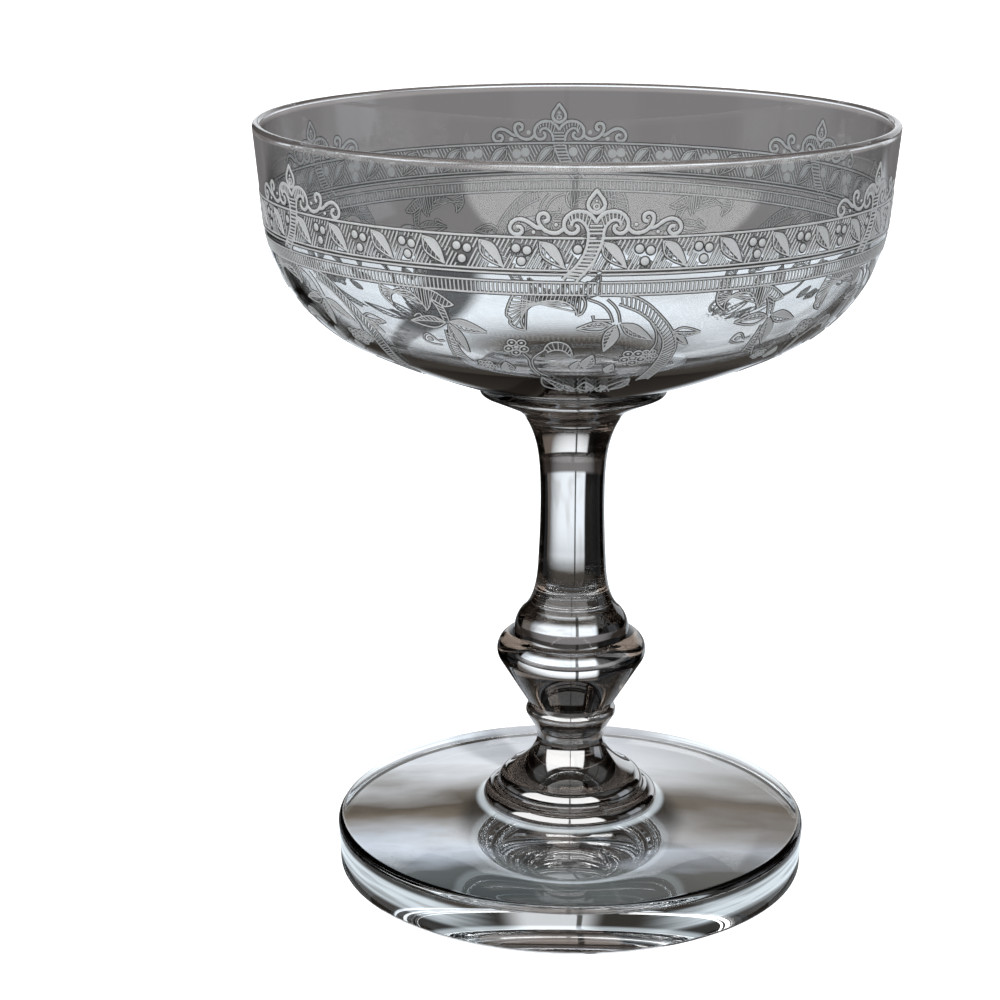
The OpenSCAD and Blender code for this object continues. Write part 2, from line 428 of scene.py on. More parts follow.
def turned(name, node, outline, glass, low_joint=0, high_joint=0):
    """A closed solid of revolution on the base of its CAD node, with fused discs inside the joints."""
    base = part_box(node)[0].z
    rows = [(r * MM, base + z * MM) for r, z in outline if r > TINY]
    if low_joint and rows[0][0] > (low_joint + TINY) * MM:
        rows.insert(0, (low_joint * MM, rows[0][1]))
    if high_joint and rows[-1][0] > (high_joint + TINY) * MM:
        rows.append((high_joint * MM, rows[-1][1]))
    verts, faces, slots = turned_points(rows, SEGMENTS), [], []
    for k in range(len(rows) - 1):
        for i in range(SEGMENTS):
            j = (i + 1) % SEGMENTS
            low, high = k * SEGMENTS, (k + 1) * SEGMENTS
            faces.append((low + i, low + j, high + j, high + i))
            slots.append(0)
    for row, joint, below in ((0, low_joint, True), (len(rows) - 1, high_joint, False)):
        inner_end = outline[0] if below else outline[-1]
        tip_z = rows[row][1] if inner_end[0] > TINY else base + inner_end[1] * MM
        verts.append((0, 0, tip_z))
        tip = len(verts) - 1
        for i in range(SEGMENTS):
            j = (i + 1) % SEGMENTS
            a, b = row * SEGMENTS + i, row * SEGMENTS + j
            faces.append((tip, b, a) if below else (tip, a, b))
            slots.append(1 if joint else 0)
    made = mesh_object(name, verts, faces, slots)
    made.data.materials.append(glass)
    made.data.materials.append(JOINT)
    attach(made, "root")
    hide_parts(node)


BELL_FOOT_R = BELL_R - BELL_TUBE * (1 - math.cos(math.radians(BELL_TUCK)))
STACK = (  # node, outline, glass, and the radius of the fused disc on top of it
    ("foot", foot_outline(), FOOT_GLASS, BASE_COLLAR_R - SEAT_STEP),
    ("base_collar", base_collar_outline(), BASE_GLASS, BELL_FOOT_R),
    ("bell", bell_outline(), BASE_GLASS, NECK_R + NECK_FLARE),
    ("ring_collar", ring_outline(), RING_GLASS, RING_R - RING_STEP),
    ("wide_knop", knop_outline(), KNOP_GLASS, SHOULDER_R),
    ("shaft", shaft_outline(), STEM_GLASS, SHAFT_TOP_R),
    ("bowl_collar", bowl_collar_outline(), STEM_GLASS, BOWL_JOINT_R),
    ("bowl", bowl_outline(), BOWL_GLASS, 0),
)
joint_below = 0
for node, outline, glass, joint_above in STACK:
    turned(node + "_glass", node, outline, glass, joint_below, joint_above)
    joint_below = joint_above

# -------------------------------------------------------------- etched ornament
#
# Everything etched is drawn flat first: x is mm to the right along the bowl, s is mm down its
# outer surface from under the lip. Each line becomes a low ridge wrapped on to the glass.

RISE = 0.1  # mm that a ridge stands on the glass
SINK = 0.025  # mm that it reaches into the glass
REPEATS = 6
TURN = 3.4  # degrees from the front to the middle of the first crown

SKIN = BOWL_OUTER[::-1]
SKIN_S = [0.0]
for below, above in zip(SKIN[1:], SKIN):
    SKIN_S.append(SKIN_S[-1] + math.dist(below, above))
BOWL_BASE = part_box("bowl")[0].z / MM


def skin(s):
    """Radius, height and outward direction of the bowl's outer surface at s."""
    s = min(max(s, 0), SKIN_S[-1] - 1e-6)
    k = bisect.bisect_right(SKIN_S, s) - 1
    share = (s - SKIN_S[k]) / (SKIN_S[k + 1] - SKIN_S[k])
    (r0, z0), (r1, z1) = SKIN[k], SKIN[k + 1]
    length = math.hypot(r1 - r0, z1 - z0)
    return r0 + (r1 - r0) * share, z0 + (z1 - z0) * share, -(z1 - z0) / length, (r1 - r0) / length


def on_glass(angle, s, lift):
    """A point in metres at an angle round the bowl, s down it and lift off it."""
    r, z, out, up = skin(s)
    r = (r + lift * out) * MM
    return r * math.sin(angle), -r * math.cos(angle), (BOWL_BASE + z + lift * up) * MM


def curve(points, gap=0.3):
    """A smooth line through the points, with a point about every gap mm."""
    ends = [points[0], *points, points[-1]]
    made = [points[0]]
    for a, b, c, d in zip(ends, ends[1:], ends[2:], ends[3:]):
        steps = max(1, round(math.dist(b, c) / gap))
        for i in range(1, steps + 1):
            t = i / steps
            made.append(tuple(
                0.5 * (2 * q + (r - p) * t + (2 * p - 5 * q + 4 * r - w) * t * t
                       + (3 * q - p - 3 * r + w) * t**3)
                for p, q, r, w in zip(a, b, c, d)
            ))
    return made


def flip(points):
    return [(-x, s) for x, s in points]


def along(line, share):
    """The point a share of the way along a line."""
    place = share * (len(line) - 1)
    k = min(int(place), len(line) - 2)
    t = place - k
    return tuple(a + (b - a) * t for a, b in zip(line[k], line[k + 1]))


def length_of(line):
    return sum(math.dist(a, b) for a, b in zip(line, line[1:]))


def even(line, count):
    """The same line with count points at equal distances."""
    total = length_of(line)
    made, k, gone = [line[0]], 0, 0.0
    for i in range(1, count - 1):
        goal = total * i / (count - 1)
        while gone + math.dist(line[k], line[k + 1]) < goal:
            gone += math.dist(line[k], line[k + 1])
            k += 1
        t = (goal - gone) / math.dist(line[k], line[k + 1])
        made.append(tuple(a + (b - a) * t for a, b in zip(line[k], line[k + 1])))
    return [*made, line[-1]]


def circle(x, s, r, sides=14):
    return [(x + r * math.cos(2 * math.pi * i / sides), s + r * math.sin(2 * math.pi * i / sides))
            for i in range(sides)]


class Relief:
    """Ridges, leaves and dots for one repeat of the ornament."""

    # share of the width, grooves beyond it, and lift; up one side, down the other and back below
    profile = ((-0.5, -1, -SINK), (-0.5, 0, RISE * 0.4), (-0.3, 0, RISE), (0.3, 0, RISE),
               (0.5, 0, RISE * 0.4), (0.5, 1, -SINK), (0.5, 0, -SINK), (-0.5, 0, -SINK))
    # the faces that take the painted groove shade
    groove_sides = (0, 4, 5, 7)

    def __init__(self):
        self.points, self.faces, self.slots = [], [], []
        self.hand = random.Random(5)

    def spot(self, x, s, lift):
        self.points.append((x / skin(s)[0], s, lift))

    def ridge(self, line, width=0.24, closed=False, groove=0.16):
        """A closed ridge along a line, with a groove down each side of it."""
        if not closed:
            line = even(line, max(len(line), 1 + math.ceil(length_of(line) / 0.8)))
        count, first, sides = len(line), len(self.points), len(self.profile)
        for i, (x, s) in enumerate(line):
            a = line[i - 1] if i or closed else line[0]
            b = line[(i + 1) % count] if i < count - 1 or closed else line[-1]
            dx, ds = b[0] - a[0], b[1] - a[1]
            size = math.hypot(dx, ds) or 1
            wide = width * self.hand.uniform(0.86, 1.14)
            for share, beyond, lift in self.profile:
                off = wide * share + groove * beyond
                self.spot(x - ds / size * off, s + dx / size * off, lift)
        for i in range(count if closed else count - 1):
            for k in range(sides):
                a, b = first + i * sides, first + (i + 1) % count * sides
                j = (k + 1) % sides
                self.faces.append((a + k, b + k, b + j, a + j))
                self.slots.append(1 if k in self.groove_sides else 0)
        if not closed:
            self.faces.append(tuple(first + k for k in range(sides)))
            self.faces.append(tuple(first + (count - 1) * sides + k for k in range(sides))[::-1])
            self.slots += [1, 1]

    def blade(self, left, right, rise=RISE, across=3):
        """A closed plate between two lines, for a leaf or the half of one."""
        count = max(3, round(max(length_of(left), length_of(right)) / 0.35))
        left, right = even(left, count), even(right, count)
        first, wide = len(self.points), across + 1
        for lift in (rise, -SINK):
            for a, b in zip(left, right):
                for k in range(wide):
                    share = k / across
                    self.spot(a[0] + (b[0] - a[0]) * share, a[1] + (b[1] - a[1]) * share, lift)
        low = first + count * wide
        for i in range(count - 1):
            for k in range(across):
                a, b = i * wide + k, (i + 1) * wide + k
                self.faces.append((first + a, first + a + 1, first + b + 1, first + b))
                self.faces.append((low + b, low + b + 1, low + a + 1, low + a))
                self.slots += [0, 0]
            for a, b in ((i * wide, (i + 1) * wide), ((i + 1) * wide + across, i * wide + across)):
                self.faces.append((first + a, first + b, low + b, low + a))
                self.slots.append(1)
        for k in range(across):
            a, b = k, (count - 1) * wide + k
            self.faces.append((first + a + 1, first + a, low + a, low + a + 1))
            self.faces.append((first + b, first + b + 1, low + b + 1, low + b))
            self.slots += [1, 1]

    def dot(self, x, s, r, sides=10):
        """A low dome."""
        first = len(self.points)
        for share, lift in ((1.3, -SINK), (0.95, RISE * 0.3), (0.7, RISE), (0.3, RISE * 1.3)):
            for px, ps in circle(x, s, r * share, sides):
                self.spot(px, ps, lift)
        for k in range(3):
            for i in range(sides):
                j = (i + 1) % sides
                a, b = first + k * sides, first + (k + 1) * sides
                self.faces.append((a + i, a + j, b + j, b + i))
                self.slots.append(0 if k else 1)
        self.faces.append(tuple(first + 3 * sides + i for i in range(sides)))
        self.faces.append(tuple(first + i for i in range(sides))[::-1])
        self.slots += [0, 0]

    def ladder(self, left, right, pitch, rung=0.2, line=0.26):
        """Two lines with rungs between them."""
        self.ridge(left, line)
        self.ridge(right, line)
        count = max(2, round((length_of(left) + length_of(right)) / 2 / pitch))
        left, right = even(left, count + 1), even(right, count + 1)
        for a, b in list(zip(left, right))[1:-1]:
            self.ridge([a, b], rung, groove=0.1)

    def leaf(self, base, tip, belly, veins=5, fill=True):
        """A pointed leaf: a midrib, one side filled and the other side veined."""
        dx, ds = tip[0] - base[0], tip[1] - base[1]
        size = math.hypot(dx, ds)
        nx, ns = -ds / size * belly, dx / size * belly

        def edge(side):
            return curve([base,
                          (base[0] + dx * 0.3 + nx * side * 0.95, base[1] + ds * 0.3 + ns * side * 0.95),
                          (base[0] + dx * 0.62 + nx * side * 0.8, base[1] + ds * 0.62 + ns * side * 0.8),
                          tip])

        rib = curve([base, (base[0] + dx * 0.5 + nx * 0.12, base[1] + ds * 0.5 + ns * 0.12), tip])
        self.ridge(edge(1), 0.18)
        self.ridge(edge(-1), 0.18)
        self.ridge(rib, 0.15)
        if fill:
            self.blade(even(rib, 12)[1:-1], even(edge(-1), 12)[1:-1], RISE * 0.6)
        far = edge(1)
        for i in range(veins):
            share = 0.15 + 0.62 * i / max(1, veins - 1)
            self.ridge([along(rib, share), along(far, share + 0.12)], 0.12, groove=0.07)

    def made(self, name, repeats=REPEATS, start=TURN):
        """Makes the piece: the drawing wrapped on the bowl, repeated round it."""
        verts, faces = [], []
        for k in range(repeats):
            shift = math.radians(start) + 2 * math.pi * k / repeats
            count = len(verts)
            verts += [on_glass(angle + shift, s, lift) for angle, s, lift in self.points]
            faces += [tuple(count + v for v in face) for face in self.faces]
        piece = mesh_object(name, verts, faces, self.slots * repeats)
        piece.data.materials.append(FROST_WITH_GLOW)
        piece.data.materials.append(GROOVE_SHADE)
        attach(piece, "root")


def hoop(relief, s, width):
    """A ridge all the way round."""
    radius = skin(s)[0]
    relief.ridge([(2 * math.pi * radius * i / 360, s) for i in range(360)], width, closed=True)


def etched_lines():
    """The lines that bound the leaf band and the comb band."""
    lines = Relief()
    for s, width in ((9.5, 0.3), (13.95, 0.24), (14.5, 0.24), (15.65, 0.22), (17.45, 0.26)):
        hoop(lines, s, width)
    lines.made("etched_lines", 1)


def comb_rungs():
    """The short teeth of the comb band."""
    rung = Relief()
    rung.ridge([(0, 15.8), (0, 16.6), (0, 17.3)], 0.2, groove=0.08)
    rung.made("etched_comb", 480, 0)


PAIRS = 6  # leaf and berry pairs in one repeat
LEAF_S = 11.8  # the middle of the leaf band
LEAF_SHIFT = 0.3  # how far the first leaf stands to the right, in pitches
LEAF_PITCH = 2 * math.pi * skin(LEAF_S)[0] / REPEATS / PAIRS
RIBBON_S, RIBBON_DROP = 9.3, 6  # where the crown's ribbon starts, and how far down it goes
RIBBON_LEFT = curve([(-1.0, 9.3), (-1.1, 10.0), (-1.3, 11.0), (-1.9, 12.35), (-2.75, 13.5), (-3.6, 14.3),
                     (-4.3, 15.2)])
RIBBON_RIGHT = curve([(1.0, 9.3), (0.75, 10.2), (0.4, 11.2), (-0.15, 12.5), (-1.0, 13.7), (-1.9, 14.75),
                      (-2.55, 15.5)])


def under_ribbon(x, s):
    """True where the crown's ribbon crosses the leaf band."""
    at = min(1, max(0, (s - RIBBON_S) / RIBBON_DROP))
    left, right = along(RIBBON_LEFT, at), along(RIBBON_RIGHT, at)
    return left[0] - 0.25 < x < right[0] + 0.45


def leaf_band():
    """Leaves and triple berries in turn, on a slanting hatched ground."""
    band = Relief()
    berries = ((-0.75, 11.0), (0.75, 11.25), (0.0, 12.75))

    def taken(x, s):
        """True on a leaf, on a berry or under the ribbon."""
        if under_ribbon(x, s):
            return True
        for k in range(-PAIRS // 2 - 1, PAIRS // 2 + 1):
            leaf_x = (k + LEAF_SHIFT) * LEAF_PITCH
            a, b = x - leaf_x, s - LEAF_S
            along_leaf, off_leaf = a * 0.69 + b * 0.73, -a * 0.73 + b * 0.69
            if (along_leaf / 2.5) ** 2 + (off_leaf / 1.25) ** 2 < 1:
                return True
            berry_x = leaf_x + LEAF_PITCH / 2
            if any(math.hypot(x - berry_x - p, s - q) < 0.85 for p, q in berries):
                return True
        return False

    for k in range(-PAIRS // 2, PAIRS // 2):
        x = (k + LEAF_SHIFT) * LEAF_PITCH
        if not under_ribbon(x, LEAF_S):
            band.leaf((x - 1.7, 10.05), (x + 1.65, 13.6), 1.05, veins=5)
        for p, q in berries:
            bx = x + LEAF_PITCH / 2 + p
            if not under_ribbon(bx, q):
                band.dot(bx, q, 0.6, 14)
    width = LEAF_PITCH * PAIRS
    strokes = round(width / 0.62)
    for i in range(strokes):
        x0 = -width / 2 + width * i / strokes
        line = [(x0 + 2.1 * (13.8 - s) / 4.1, s) for s in [9.75 + 4.05 * j / 18 for j in range(19)]]
        run = []
        for point in [*line, None]:
            if point is not None and not taken(*point):
                run.append(point)
                continue
            if len(run) > 2:
                band.ridge([run[0], run[len(run) // 2], run[-1]], 0.24, groove=0.1)
            run = []
    band.made("etched_leaf_band")


def crowns():
    """The crown over the band: a teardrop between two beaded scrolls, with curls beside them."""
    crown = Relief()
    half = [(0, 6.05), (0.7, 5.75), (1.12, 5.1), (0.95, 4.35), (0.42, 3.6), (0, 2.95)]
    outline = curve(half, 0.25) + curve(flip(half[::-1]), 0.25)[1:-1]
    crown.ridge(outline, 0.5, closed=True)
    crown.ridge(circle(0, 5.2, 0.36), 0.26, closed=True, groove=0.08)
    crown.dot(0, 4.45, 0.2)
    outer = curve([(0, 7.3), (-0.5, 6.6), (-1.2, 6.05), (-2.1, 5.85), (-3.1, 6.0), (-3.85, 6.55),
                   (-4.25, 7.4), (-4.15, 8.2), (-3.7, 8.75), (-3.0, 8.85), (-2.45, 8.5), (-2.4, 7.95),
                   (-2.8, 7.75)], 0.2)
    inner = curve([(-1.0, 9.3), (-1.05, 8.6), (-1.3, 7.9), (-1.8, 7.3), (-2.5, 7.0), (-3.1, 7.25),
                   (-3.3, 7.75)], 0.2)
    rungs = ((0.1, 0.3), (0.16, 0.43), (0.22, 0.55), (0.28, 0.66), (0.34, 0.77), (0.4, 0.87), (0.46, 0.96))
    hook = curve([(-4.3, 8.2), (-5.0, 8.75), (-5.9, 8.8), (-6.8, 8.45), (-7.4, 7.8), (-7.7, 7.0),
                  (-7.5, 6.35), (-6.9, 6.15), (-6.4, 6.5), (-6.4, 7.1), (-6.9, 7.3)], 0.2)
    curl = curve([(-7.3, 8.2), (-8.0, 8.05), (-8.8, 7.5), (-9.6, 7.1), (-10.5, 7.05), (-11.25, 7.55),
                  (-11.5, 8.3), (-11.1, 8.95), (-10.3, 9.1), (-9.8, 8.6), (-10.1, 8.05), (-10.6, 8.1)], 0.2)
    for side in (lambda points: points, flip):
        crown.ridge(side(outer), 0.5)
        crown.ridge(side(inner), 0.42)
        for a, b in rungs:
            crown.ridge(side([along(outer, a), along(inner, b)]), 0.2, groove=0.1)
        crown.ridge(side(hook), 0.52)
        crown.ridge(side(curl), 0.52)
        for x, s in ((-8.3, 8.75), (-5.3, 7.7)):
            crown.dot(*side([(x, s)])[0], 0.28)
    crown.ladder(RIBBON_LEFT, RIBBON_RIGHT, 0.6, rung=0.3, line=0.38)
    for i in range(3):
        s = 7.8 + 0.52 * i
        crown.ridge([(-0.85 - 0.05 * i, s), (0.85 + 0.05 * i, s)], 0.26, groove=0.1)
    crown.made("etched_crowns")


def fan(relief, outer, inner, count, width=0.14, first=0.0, last=1.0):
    """Strokes from one line to another."""
    for i in range(count):
        share = first + (last - first) * i / (count - 1)
        relief.ridge([along(outer, share), along(inner, share)], width, groove=0.09)


def great_scrolls():
    """Under each crown: a hatched arch on the left, a long laddered scroll on the right."""
    work = Relief()
    inner = curve([(-9.2, 23.3), (-9.8, 21.9), (-9.5, 20.4), (-8.6, 19.2), (-7.3, 18.55), (-5.7, 18.3),
                   (-4.35, 18.4), (-3.2, 18.95), (-2.5, 19.75), (-2.3, 20.6)])
    outer = curve([(-9.2, 23.3), (-10.5, 22.95), (-11.4, 22.1), (-11.3, 21.4), (-11.85, 20.9),
                   (-11.8, 19.8), (-11.4, 18.5), (-11.0, 17.6)])
    tail = curve([(-2.3, 20.6), (-1.7, 20.3), (-1.3, 19.4), (-1.25, 18.5), (-1.7, 17.6)])
    for line in (inner, outer, tail):
        work.ridge(line, 0.19)
    brow = 17.55
    fan(work, outer, inner, 9, first=0.2, last=0.95)
    low = even(inner, 60)
    for i in range(15):
        x = -9.6 + 0.55 * i
        under = min(low, key=lambda p: abs(p[0] - x + 0.15))
        work.ridge([(x, brow), (x - 0.15, (brow + under[1]) / 2), (x - 0.2, under[1])], 0.14)
    left = curve([(3.3, 18.85), (4.5, 19.4), (5.9, 20.1), (7.1, 21.05), (8.1, 22.2), (9.0, 23.6),
                  (9.7, 25.2), (9.8, 27.0), (9.45, 29.0), (8.85, 30.9), (8.15, 32.8), (7.4, 34.8),
                  (6.8, 36.8)])
    right = curve([(2.9, 17.5), (4.1, 17.6), (5.4, 17.8), (6.7, 18.5), (7.9, 19.5), (9.3, 21.1),
                   (10.5, 22.8), (11.3, 24.6), (11.7, 26.6), (11.4, 28.6), (10.8, 30.5), (9.95, 32.5),
                   (9.1, 34.5), (8.4, 36.4)])
    work.ladder(left, right, 0.66, rung=0.13, line=0.19)
    work.ridge(curve([(7.9, 22.1), (8.55, 23.4), (8.8, 24.7), (8.7, 26.1), (8.2, 27.3)]), 0.19)
    work.ridge(curve([(-0.9, 18.1), (0.55, 18.65), (1.5, 19.4), (2.15, 20.4), (2.55, 21.8)]), 0.18)
    work.ridge(curve([(1.7, 18.1), (2.7, 19.1), (3.3, 20.3), (3.55, 21.8)]), 0.18)
    work.leaf((2.4, 22.3), (-2.3, 22.9), 0.85, veins=6, fill=False)
    work.leaf((3.7, 22.1), (8.1, 25.2), 0.95, veins=6)
    work.leaf((3.0, 22.3), (1.55, 27.3), 0.95, veins=6)
    work.ridge([(-0.2, 20.6), (-0.05, 21.4), (2.3, 21.5)], 0.2)
    work.leaf((11.0, 23.9), (15.1, 24.2), 0.8, veins=5, fill=False)
    work.leaf((11.4, 24.4), (13.3, 26.6), 0.55, veins=3)
    rosette(work, 5.7, 29.0, 1.05)
    rosette(work, 8.0, 28.4, 0.7)
    rosette(work, -10.4, 26.7, 1.0)
    work.ridge(curve([(-9.4, 28.2), (-8.6, 29.4), (-8.2, 31.6), (-6.9, 34.2)]), 0.18)
    work.ridge(curve([(-6.5, 27.1), (-8.0, 29.0), (-7.9, 31.2), (-7.1, 33.0), (-5.7, 34.4)]), 0.18)
    arch_out = curve([(-6.6, 27.3), (-6.3, 26.2), (-5.6, 25.5), (-4.4, 25.4), (-3.4, 26.0), (-2.9, 27.0),
                      (-2.6, 28.3)])
    arch_in = curve([(-6.1, 27.6), (-5.4, 27.1), (-4.8, 27.0), (-4.1, 27.1), (-3.6, 27.5), (-3.2, 28.0),
                     (-2.8, 28.4)])
    work.ridge(arch_out, 0.19)
    work.ridge(arch_in, 0.19)
    fan(work, arch_out, arch_in, 8, first=0.08, last=0.9)
    for base, tip, belly in (((-0.9, 31.6), (0.1, 28.1), 0.9), ((-2.4, 32.2), (-1.7, 29.6), 0.7),
                             ((-11.2, 33.4), (-11.9, 30.3), 0.9), ((2.2, 33.0), (3.0, 30.4), 0.7)):
        work.leaf(base, tip, belly, veins=5)
    work.made("etched_great_scrolls")


def rosette(relief, x, s, size):
    """A small open flower: a centre dot and round petals."""
    relief.dot(x, s, 0.38 * size)
    for k in range(5):
        turn = 2 * math.pi * (k + 0.25) / 5
        px, ps = x + 1.15 * size * math.cos(turn), s + 1.15 * size * math.sin(turn)
        relief.ridge(circle(px, ps, 0.62 * size), 0.2, closed=True)
        relief.dot(px, ps, 0.24 * size)


def small_scrolls():
    """Between the crowns: a hatched arch, and a stem with three leaves and a bud."""
    work = Relief()
    outer = curve([(-6.9, 17.5), (-7.0, 18.3), (-6.8, 19.3), (-6.1, 20.1), (-5.3, 20.7)])
    inner = curve([(-5.3, 20.7), (-5.5, 19.7), (-5.1, 18.85), (-4.05, 18.25), (-2.9, 18.15), (-1.8, 18.4),
                   (-0.85, 19.2), (-0.2, 20.1), (0.2, 21.0)])
    work.ridge(outer, 0.19)
    work.ridge(inner, 0.19)
    fan(work, outer[::-1], inner, 5, 0.14, first=0.35, last=0.9)
    for i in range(7):
        share = 0.45 + 0.09 * i
        under = along(inner, share)
        work.ridge([(under[0] - 0.55 + 0.12 * i, 17.5), under], 0.14)
    wing_top = curve([(0.2, 17.5), (1.85, 17.85), (3.25, 18.7), (4.5, 19.75)])
    wing_low = curve([(0.2, 21.0), (0.9, 20.2), (1.3, 19.2), (2.2, 19.6), (3.2, 20.1), (4.5, 19.75)])
    work.ridge(wing_top, 0.19)
    work.ridge(wing_low, 0.19)
    fan(work, wing_top, wing_low, 9, 0.14, first=0.12, last=0.92)
    work.ladder(curve([(1.3, 19.3), (1.85, 20.2), (2.2, 21.3), (2.5, 22.4)]),
                curve([(2.7, 20.0), (3.05, 20.8), (3.15, 21.6), (3.2, 22.4)]), 0.6, rung=0.13, line=0.18)
    work.leaf((2.7, 22.8), (-2.9, 23.1), 1.0, veins=7, fill=False)
    work.leaf((3.3, 22.6), (8.3, 24.0), 0.95, veins=6)
    work.leaf((3.1, 23.0), (4.4, 28.5), 0.95, veins=6)
    work.ridge([(-2.1, 22.2), (-1.2, 21.5), (-0.75, 22.3)], 0.2)
    work.ladder(curve([(2.2, 24.2), (1.95, 26.5), (1.75, 28.2), (1.7, 29.9)]),
                curve([(2.9, 24.4), (3.0, 26.9), (3.25, 29.0), (4.0, 30.9)]), 0.62, rung=0.13, line=0.18)
    bud = curve([(-2.0, 26.7), (-1.7, 25.8), (-1.1, 25.35), (-0.5, 25.6), (0.2, 26.6)])
    work.ridge(bud, 0.18)
    work.ridge(curve([(-2.0, 26.8), (-0.9, 27.4), (0.7, 27.5)]), 0.18)
    work.dot(-0.9, 26.4, 0.4)
    work.ridge([(0.3, 26.7), (1.3, 26.4)], 0.2)
    rosette(work, 5.9, 31.6, 0.75)
    work.made("etched_small_scrolls", start=TURN - 180 / REPEATS)


def calyx():
    """Pointed leaves that rise round the foot of the bowl, with a patch of stipple between them."""
    work = Relief()
    for base, tip, belly in (((-3.6, 42.6), (-6.6, 34.8), 1.3), ((3.2, 42.8), (5.8, 35.6), 1.2),
                             ((0, 43.2), (-0.4, 37.0), 1.1), ((-1.9, 43.6), (-3.3, 38.8), 0.7),
                             ((1.7, 43.6), (2.5, 39.2), 0.7)):
        work.leaf(base, tip, belly, veins=6, fill=False)
    for i in range(70):
        x, s = work.hand.gauss(0, 2.2), work.hand.uniform(39.5, 44.5)
        work.ridge([(x, s), (x + work.hand.uniform(0.15, 0.4), s - 0.15)], 0.08, groove=0.05)
    work.made("etched_calyx")


etched_lines()
comb_rungs()
leaf_band()
crowns()
great_scrolls()
small_scrolls()
calyx()

# ----------------------------------------------------------------------- stage

def sweep():
    """A pale floor that runs up into a round wall and a closed top, seen only by the camera."""
    cove = arc((1.2, 1.3), 1.3, -90, 0, 12)
    rows = [(0.2, 0), (0.5, 0), *cove, (2.5, 2.5), (1.8, 3.4), (0.6, 3.8)]  # metres
    count, last = 48, len(rows) - 1
    faces = [tuple(range(count)), tuple(last * count + i for i in range(count))[::-1]]
    for k in range(last):
        for i in range(count):
            j = (i + 1) % count
            faces.append((k * count + j, k * count + i, (k + 1) * count + i, (k + 1) * count + j))
    made = mesh_object("studio_sweep", turned_points(rows, count), faces)
    paint, shader = material("studio_paper")
    shader.inputs["Base Color"].default_value = (0.9, 0.9, 0.9, 1)
    shader.inputs["Roughness"].default_value = 1.0
    shader.inputs["Specular IOR Level"].default_value = 0.0
    shader.inputs["Emission Color"].default_value = (1, 1, 1, 1)
    shader.inputs["Emission Strength"].default_value = 0.82
    made.data.materials.append(paint)
    for flag in ("visible_transmission", "visible_glossy", "visible_diffuse", "visible_shadow"):
        setattr(made, flag, False)


def glowing_paper(name, colour_of):
    """A material that shines with the colour that colour_of makes from its nodes."""
    paint, shader = material(name)
    nodes, links = paint.node_tree.nodes, paint.node_tree.links
    links.new(colour_of(nodes, links), shader.inputs["Emission Color"])
    shader.inputs["Emission Strength"].default_value = 1.0
    shader.inputs["Base Color"].default_value = (0, 0, 0, 1)
    shader.inputs["Roughness"].default_value = 1.0
    shader.inputs["Specular IOR Level"].default_value = 0.0
    return paint


def wandering(nodes, links, stretch, reach):
    """y on the table, pushed to and fro by a stretched noise, and plain x, in metres."""
    x, y, _ = place_xyz(nodes, links)
    push = between(nodes, links, noise(nodes, links, stretch, 4), 0.25, 0.75, -reach, reach)
    total = nodes.new("ShaderNodeMath")
    links.new(y, total.inputs[0])
    links.new(push, total.inputs[1])
    return total.outputs[0], x


def mixed(nodes, links, share, under, over):
    """A colour socket with a share of a plain colour laid over it."""
    mix = nodes.new("ShaderNodeMix")
    mix.data_type = "RGBA"
    links.new(share, mix.inputs["Factor"])
    links.new(under, mix.inputs[6])
    mix.inputs[7].default_value = (*over, 1)
    return mix.outputs[2]


def streaked(nodes, links):
    """Bands of window light and shadow across the table, dark where the stem stands."""
    half = 38  # mm on either side of the middle that the bands cover
    away, right = wandering(nodes, links, (30, 75, 20), 6 * MM)
    shade = nodes.new("ShaderNodeValToRGB")
    stops = ((-30, (0.10, 0.115, 0.12)), (-19, (0.17, 0.19, 0.195)), (-10, (0.72, 0.80, 0.92)),
             (-4, (0.46, 0.46, 0.47)), (3, (0.22, 0.19, 0.155)), (8, (0.13, 0.108, 0.085)),
             (13, (0.42, 0.42, 0.42)), (20, (0.80, 0.84, 0.90)), (34, (0.55, 0.58, 0.64)))
    ramp = shade.color_ramp
    while len(ramp.elements) < len(stops):
        ramp.elements.new(0.5)
    for element, (at, tone) in zip(ramp.elements, stops):
        element.position = (at + half) / (2 * half)
        element.color = (*tone, 1)
    fit = nodes.new("ShaderNodeMapRange")
    fit.inputs["From Min"].default_value = -half * MM
    fit.inputs["From Max"].default_value = half * MM
    links.new(away, fit.inputs["Value"])
    links.new(fit.outputs["Result"], shade.inputs["Fac"])
    duller = between(nodes, links, right, 2 * MM, 24 * MM, 0, 0.45)
    colour = mixed(nodes, links, duller, shade.outputs["Color"], (0.20, 0.175, 0.15))
    out, _ = radius_and_height(nodes, links)
    shadow = between(nodes, links, out, 15 * MM, 19 * MM, 0.9, 0)
    return mixed(nodes, links, shadow, colour, (0.03, 0.025, 0.02))


def sill_light(nodes, links):
    """Daylight on the table around the foot, stronger in places and dark in front and behind."""
    away, _ = wandering(nodes, links, (40, 40, 40), 20 * MM)
    shade = nodes.new("ShaderNodeValToRGB")
    dim, bright = shade.color_ramp.elements
    dim.color, bright.color = (0.42, 0.44, 0.46, 1), (0.84, 0.92, 1.0, 1)
    links.new(between(nodes, links, away, -30 * MM, 30 * MM, 0, 1), shade.inputs["Fac"])
    middle = between(nodes, links, beside_axis(nodes, links), 6 * MM, 20 * MM, 0.95, 0)
    return mixed(nodes, links, middle, shade.outputs["Color"], (0.03, 0.027, 0.022))


